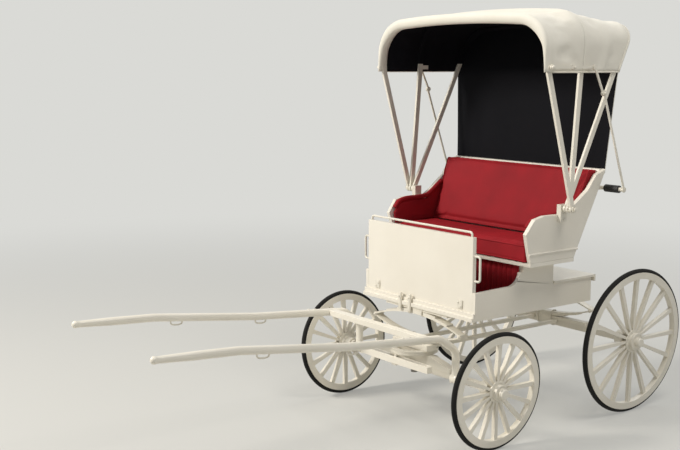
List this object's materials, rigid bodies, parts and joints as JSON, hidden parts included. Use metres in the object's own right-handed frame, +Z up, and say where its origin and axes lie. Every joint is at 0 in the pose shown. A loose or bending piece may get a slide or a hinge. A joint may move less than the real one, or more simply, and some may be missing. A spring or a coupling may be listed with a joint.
{
  "type": "horse drawn carriage",
  "caption": "Small white four-wheeled pony buggy with steering fore-carriage, shafts, sprung body, red seat and a folding hood on bows.",
  "frame": {"origin": "on the ground, under the centre of the overall box", "axes": "+X forward along the shafts, +Y to the carriage's left, +Z up"},
  "size_m": [2.721, 1.1652, 1.8658],
  "materials": {
    "white_paint": "gloss white paint on wood and iron",
    "rubber_tyre": "black rubber, dull",
    "red_plush": "crimson velour",
    "red_carpet": "dark red carpet",
    "hood_cloth": "off-white coated canvas with a black lining",
    "black_cloth": "black canvas",
    "black_rubber": "black rubber block",
    "bare_steel": "greased steel"
  },
  "bodies": {
    "chassis": {"rear_axle": "white_paint", "rear_axle_bed": "white_paint", "rear_spring": "white_paint", "rear_spring_irons": "white_paint", "reach_poles": "white_paint", "headblock": "white_paint", "fifth_wheel_upper": "white_paint", "kingpin": "bare_steel", "front_spring": "white_paint", "front_spring_bar": "white_paint", "body_floor": "white_paint", "body_side_left": "white_paint", "body_side_right": "white_paint", "tailboard": "white_paint", "seat_riser_boards": "white_paint", "dash_panel": "white_paint", "dash_sill": "white_paint", "dash_rail": "white_paint", "dash_handles": "white_paint", "seat_board": "white_paint", "seat_side_left": "white_paint", "seat_side_right": "white_paint", "seat_back": "white_paint", "seat_cushion": "red_plush", "back_cushion": "red_plush", "seat_fall": "red_plush", "floor_carpet": "red_carpet", "hood_pivots": "white_paint", "prop_rests": "white_paint", "prop_blocks": "black_rubber"},
    "fore_carriage": {"front_axle": "white_paint", "front_axle_bed": "white_paint", "fifth_wheel_lower": "white_paint", "shaft_couplings": "white_paint", "singletree_bolt": "white_paint"},
    "front_left": {"front_left_wheel": "white_paint", "front_left_tyre": "rubber_tyre"},
    "front_right": {"front_right_wheel": "white_paint", "front_right_tyre": "rubber_tyre"},
    "rear_left": {"rear_left_wheel": "white_paint", "rear_left_tyre": "rubber_tyre"},
    "rear_right": {"rear_right_wheel": "white_paint", "rear_right_tyre": "rubber_tyre"},
    "shafts": {"shaft_left": "white_paint", "shaft_right": "white_paint", "shaft_crossbar": "white_paint"},
    "singletree": {"singletree": "white_paint"},
    "boot_lid": {"boot_lid": "white_paint"},
    "rear_bow": {"rear_bow": "white_paint", "back_curtain": "black_cloth"},
    "middle_bow": {"middle_bow": "white_paint", "canopy_rear": "hood_cloth"},
    "front_bow": {"front_bow": "white_paint", "canopy_front": "hood_cloth"},
    "prop_upper": {"prop_upper": "white_paint"},
    "prop_lower": {"prop_lower": "white_paint"},
    "strut_rear": {"hood_strut_rear": "white_paint"},
    "strut_front": {"hood_strut_front": "white_paint"}
  },
  "joints": [
    {"name": "steering", "type": "hinge", "parent": "chassis", "child": "fore_carriage", "pos_m": [-0.1395, 0, 0.27326], "axis": [0, 0, 1], "range_deg": [-30, 30]},
    {"name": "front_left_spin", "type": "hinge", "parent": "fore_carriage", "child": "front_left", "pos_m": [-0.1395, 0.53, 0.25577], "axis": [0, 0.999, -0.0436], "continuous": true},
    {"name": "front_right_spin", "type": "hinge", "parent": "fore_carriage", "child": "front_right", "pos_m": [-0.1395, -0.53, 0.25577], "axis": [0, 0.999, 0.0436], "continuous": true},
    {"name": "rear_left_spin", "type": "hinge", "parent": "chassis", "child": "rear_left", "pos_m": [-1.0195, 0.53, 0.34069], "axis": [0, 0.999, -0.0436], "continuous": true},
    {"name": "rear_right_spin", "type": "hinge", "parent": "chassis", "child": "rear_right", "pos_m": [-1.0195, -0.53, 0.34069], "axis": [0, 0.999, 0.0436], "continuous": true},
    {"name": "shaft_lift", "type": "hinge", "parent": "fore_carriage", "child": "shafts", "pos_m": [-0.0845, 0, 0.27526], "axis": [0, -1, 0], "range_deg": [-22, 8]},
    {"name": "singletree_swing", "type": "hinge", "parent": "fore_carriage", "child": "singletree", "pos_m": [-0.0295, 0, 0.29826], "axis": [0, 0, 1], "range_deg": [-15, 15]},
    {"name": "boot_lid_lift", "type": "hinge", "parent": "chassis", "child": "boot_lid", "pos_m": [-0.6395, 0, 0.6453], "axis": [0, 1, 0], "range_deg": [0, 55]},
    {"name": "hood_fold", "type": "hinge", "parent": "chassis", "child": "rear_bow", "pos_m": [-0.5635, 0, 0.994], "axis": [0, -1, 0], "range_deg": [0, 45], "deforming": ["back_curtain"]},
    {"name": "middle_bow_fold", "type": "hinge", "parent": "rear_bow", "child": "middle_bow", "pos_m": [-0.5635, 0, 0.994], "axis": [0, -1, 0], "range_deg": [0, 16.8], "deforming": ["canopy_rear"]},
    {"name": "front_bow_fold", "type": "hinge", "parent": "middle_bow", "child": "front_bow", "pos_m": [-0.5635, 0, 0.994], "axis": [0, -1, 0], "range_deg": [0, 14.2], "deforming": ["canopy_front"]},
    {"name": "prop_lower_fold", "type": "hinge", "parent": "chassis", "child": "prop_lower", "pos_m": [-0.8645, 0, 1.061], "axis": [0, -1, 0], "range_deg": [0, 82.93]},
    {"name": "prop_upper_fold", "type": "hinge", "parent": "middle_bow", "child": "prop_upper", "pos_m": [-0.65349, 0, 1.6], "axis": [0, -1, 0], "range_deg": [-151.76, 0]},
    {"name": "strut_rear_fold", "type": "hinge", "parent": "middle_bow", "child": "strut_rear", "pos_m": [-0.65349, 0, 1.6], "axis": [0, -1, 0], "range_deg": [-51.87, 0]},
    {"name": "strut_front_fold", "type": "hinge", "parent": "front_bow", "child": "strut_front", "pos_m": [-0.38628, 0, 1.6], "axis": [0, -1, 0], "range_deg": [0, 62.54]}
  ],
  "couplings": [
    {"joint": "middle_bow_fold", "follows": "hood_fold", "ratio": 0.37333},
    {"joint": "front_bow_fold", "follows": "hood_fold", "ratio": 0.31555},
    {"joint": "prop_lower_fold", "follows": "hood_fold", "ratio": 1.8428},
    {"joint": "prop_upper_fold", "follows": "hood_fold", "ratio": -3.3724},
    {"joint": "strut_rear_fold", "follows": "hood_fold", "ratio": -1.1526},
    {"joint": "strut_front_fold", "follows": "hood_fold", "ratio": 1.3899}
  ]
}
